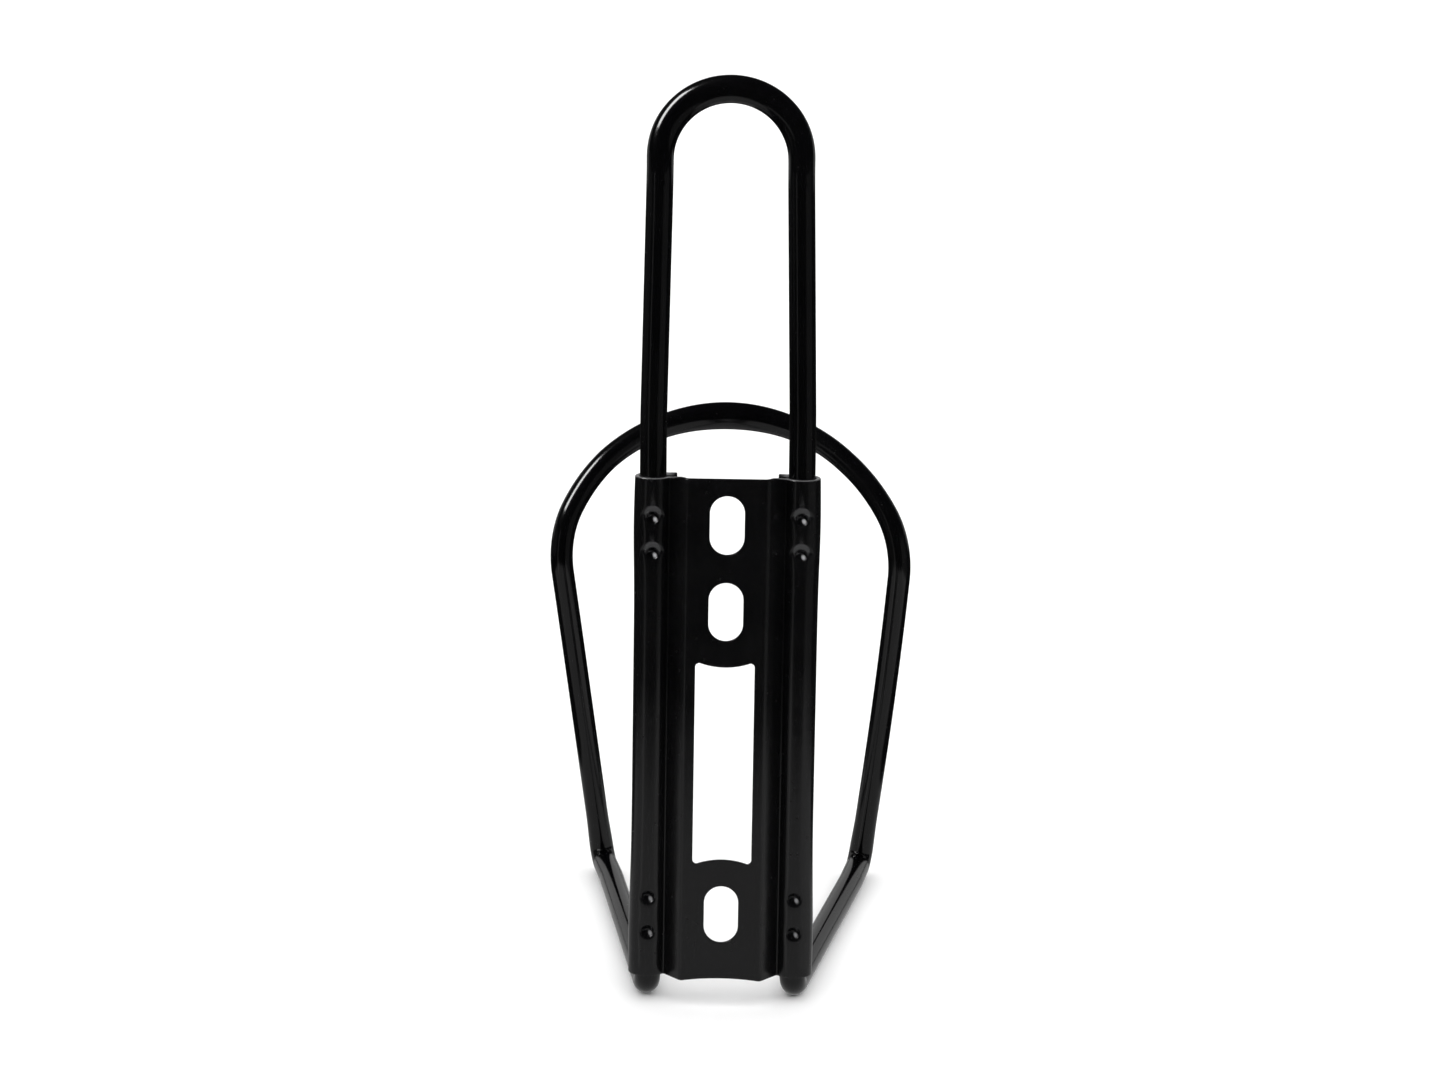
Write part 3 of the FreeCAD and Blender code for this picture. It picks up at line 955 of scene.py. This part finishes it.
# %% [markdown]
# ## A pale floor
# The cage stands in a round pale cove: a flat floor that curves up into a wall far
# away on all sides, so every view has the same plain ground. The gloss paint doesn't
# mirror the cove. It mirrors only the panels of the next step, which is how a studio
# keeps black gloss black on a white ground.

# %% The cove
FLOOR = cad_box[0][2]
COVE_R = 3.0
COVE_ROUND = 0.5
COVE_TOP = 1.6
COVE_SIDES = 72
COVE_MIDDLE = 0.4
COVE_MOTTLE = 0.5


def cove_profile():
    """Floor, a quarter round and a wall, from the middle outwards, as (radius, z)."""
    turns = [math.radians(10 * i) for i in range(10)]
    inner = COVE_R - COVE_ROUND
    bend = [(inner + COVE_ROUND * math.sin(t), FLOOR + COVE_ROUND * (1 - math.cos(t)))
            for t in turns]
    return [(COVE_MIDDLE, FLOOR)] + bend + [(COVE_R, COVE_TOP)]


turns = [2 * math.pi * i / COVE_SIDES for i in range(COVE_SIDES)]
profile = cove_profile()
cove_faces = [tuple(range(COVE_SIDES))]
for level in range(len(profile) - 1):
    base = level * COVE_SIDES
    for i in range(COVE_SIDES):
        after = (i + 1) % COVE_SIDES
        cove_faces.append((base + i, base + COVE_SIDES + i, base + COVE_SIDES + after,
                           base + after))
cove_mesh = bpy.data.meshes.new("cove")
cove_mesh.from_pydata([(r * math.cos(t), r * math.sin(t), z) for r, z in profile for t in turns],
                      [], cove_faces)
cove_mesh.shade_smooth()
cove = link("cove", cove_mesh)
cove.visible_glossy = False
cove_paint, tree, output, place = new_material("matt_white_cove")
mottle = node(tree, "ShaderNodeTexNoise", {"Vector": place}, Scale=1 / COVE_MOTTLE)
tone = node(tree, "ShaderNodeValToRGB", {"Fac": mottle.outputs["Fac"]})
tone.color_ramp.elements[0].color = linear("#f2f2f2")
tone.color_ramp.elements[1].color = linear("#f7f7f7")
matt = node(tree, "ShaderNodeBsdfDiffuse", {"Color": tone.outputs["Color"]})
tree.links.new(matt.outputs["BSDF"], output.inputs["Surface"])
cove_mesh.materials.append(cove_paint)
print("floor at", round(FLOOR, 5))

# %% [markdown]
# ## Lights
# A broad overhead light whitens the cove and isn't mirrored either. The panels draw
# the shape. Two strips of ground grey the plate's lower half and the underside of the
# shelf rods, and a wide wall far behind whitens the top of the shelf rods. A window
# high on the left draws the long crisp marks on the left shoulders. It is seen only
# as a mirror image, so it casts no light on the floor. Three dim panels at the sides
# give the rods their soft lighter stripes.

# %% Add the lights
CAGE = Vector((0, 0.03, 0.03))
SIDEWAYS = Vector((1, 0, 0))
UPWARDS = Vector((0, 0, 1))
UNDER_FLOOR = FLOOR - 0.001
GROUND_GREY = 0.42


def place_light(name, data, place, target, along=SIDEWAYS):
    """Put a light at a place, facing a target, with its width along a direction."""
    lamp = bpy.data.objects.new(name, data)
    back = (Vector(place) - Vector(target)).normalized()
    across = (along - along.dot(back) * back).normalized()
    turn = Matrix((across, back.cross(across), back)).transposed().to_4x4()
    lamp.matrix_world = Matrix.Translation(place) @ turn
    bpy.context.scene.collection.objects.link(lamp)
    return lamp


def panel(name, place, target, width, height, brightness, along=SIDEWAYS):
    """Rectangular panel that faces a target; brightness is its radiance."""
    data = bpy.data.lights.new(name, "AREA")
    data.shape = "RECTANGLE"
    data.size = width
    data.size_y = height
    data.energy = brightness * math.pi * width * height
    lamp = place_light(name, data, place, target, along)
    lamp.visible_camera = False
    return lamp


sun = bpy.data.lights.new("overhead", "SUN")
sun.energy = 4.4
sun.angle = math.radians(150)
overhead = place_light("overhead", sun, (0, -0.2, 2), (0, 0, 0))
overhead.visible_glossy = False
panel("ground", (0, -0.045, UNDER_FLOOR), (0, -0.045, 1), 0.34, 0.19, GROUND_GREY)
panel("ground_behind", (0, 0.09, UNDER_FLOOR), (0, 0.09, 1), 0.13, 0.08, GROUND_GREY)
panel("far_wall", (0, 1.6, 0.40), (0, 0, 0.40), 6.0, 0.9, GROUND_GREY)
window = panel("left_window", CAGE + 1.2 * Vector((-0.58, -0.09, 0.81)), CAGE,
               0.58, 0.38, 20.0, Vector((0.748, 0.484, 0.454)))
window.visible_diffuse = False
panel("left_door", CAGE + Vector((-0.68, -0.73, -0.05)), CAGE, 0.9, 0.11, 0.4, UPWARDS)
panel("left_wall", CAGE + 0.9 * Vector((-1, 0, 0.06)), CAGE, 0.4, 0.9, 0.07, UPWARDS)
panel("right_wall", CAGE + 0.9 * Vector((0.87, -0.5, -0.08)), CAGE, 0.8, 0.9, 0.11, UPWARDS)
world = bpy.data.worlds.new("dim_room")
world.use_nodes = True
world.node_tree.nodes["Background"].inputs["Color"].default_value = linear("#ffffff")
world.node_tree.nodes["Background"].inputs["Strength"].default_value = 0.02
bpy.context.scene.world = world
bpy.context.scene.view_settings.view_transform = "Standard"
